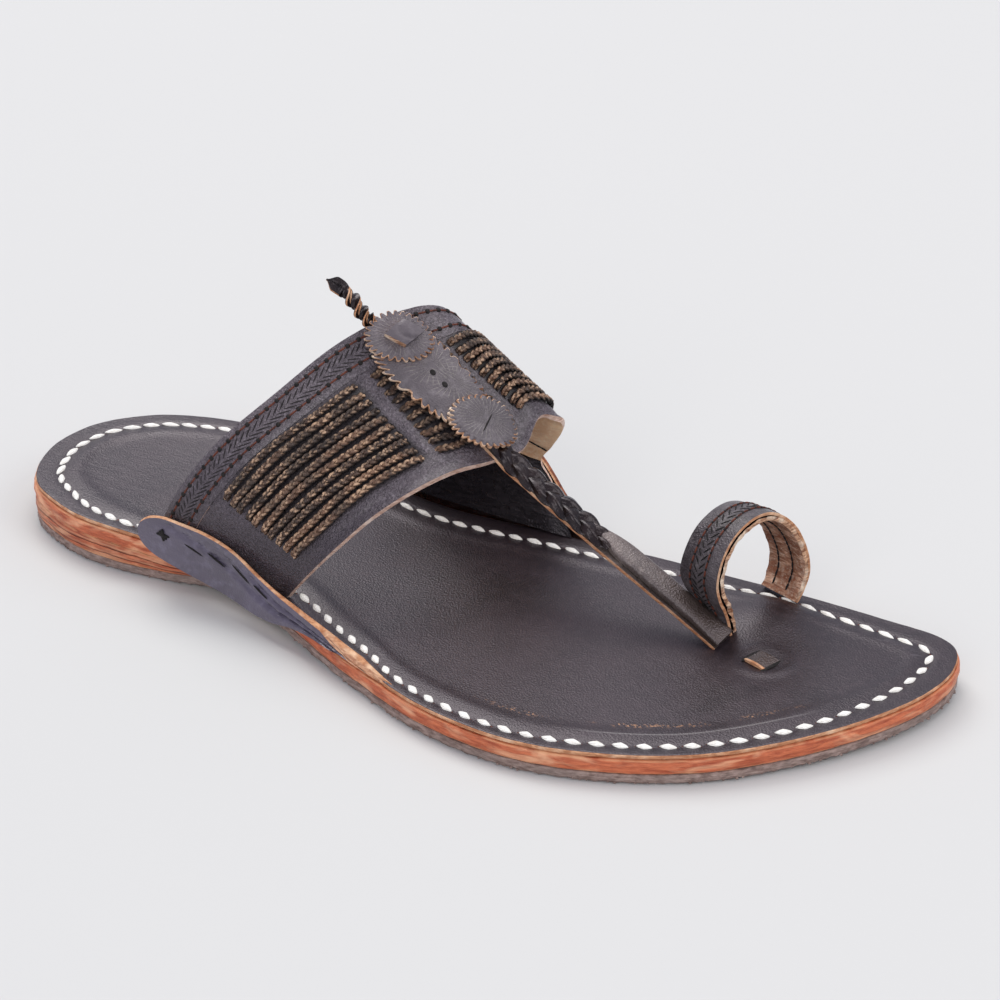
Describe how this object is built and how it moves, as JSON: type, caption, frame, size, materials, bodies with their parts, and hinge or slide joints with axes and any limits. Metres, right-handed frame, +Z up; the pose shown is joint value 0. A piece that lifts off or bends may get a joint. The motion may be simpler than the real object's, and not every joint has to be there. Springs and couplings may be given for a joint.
{
  "type": "kolhapuri sandal",
  "caption": "Flat leather sandal with a stitched layered sole, a corded instep strap, a plaited toe thong and a big toe loop; right shoe.",
  "frame": {"origin": "middle of the bottom of the box, on the floor", "axes": "+X towards the toes, +Y towards the inner side, +Z up"},
  "size_m": [0.29, 0.1202, 0.0918],
  "materials": {
    "dark_leather": "satin, fine grain",
    "cord": "waxed braid",
    "natural_leather": "cut and burnished edge",
    "rubber": "rough, with a pinked lower edge"
  },
  "bodies": {
    "root": {"anchor_tab": "dark_leather", "centre_panel": "dark_leather", "cord_lateral_1": "cord", "cord_lateral_10": "cord", "cord_lateral_2": "cord", "cord_lateral_3": "cord", "cord_lateral_4": "cord", "cord_lateral_5": "cord", "cord_lateral_6": "cord", "cord_lateral_7": "cord", "cord_lateral_8": "cord", "cord_lateral_9": "cord", "cord_medial_1": "cord", "cord_medial_10": "cord", "cord_medial_2": "cord", "cord_medial_3": "cord", "cord_medial_4": "cord", "cord_medial_5": "cord", "cord_medial_6": "cord", "cord_medial_7": "cord", "cord_medial_8": "cord", "cord_medial_9": "cord", "front_rosette": "dark_leather", "heel_lift": "natural_leather", "insole": "dark_leather", "lateral_ear": "dark_leather", "medial_ear": "dark_leather", "midsole": "natural_leather", "outsole": "rubber", "plait_tail": "dark_leather", "rear_rosette": "dark_leather", "rosette_stud": "dark_leather", "toe_loop": "dark_leather", "toe_thong": "dark_leather", "upper": "dark_leather"}
  },
  "joints": []
}
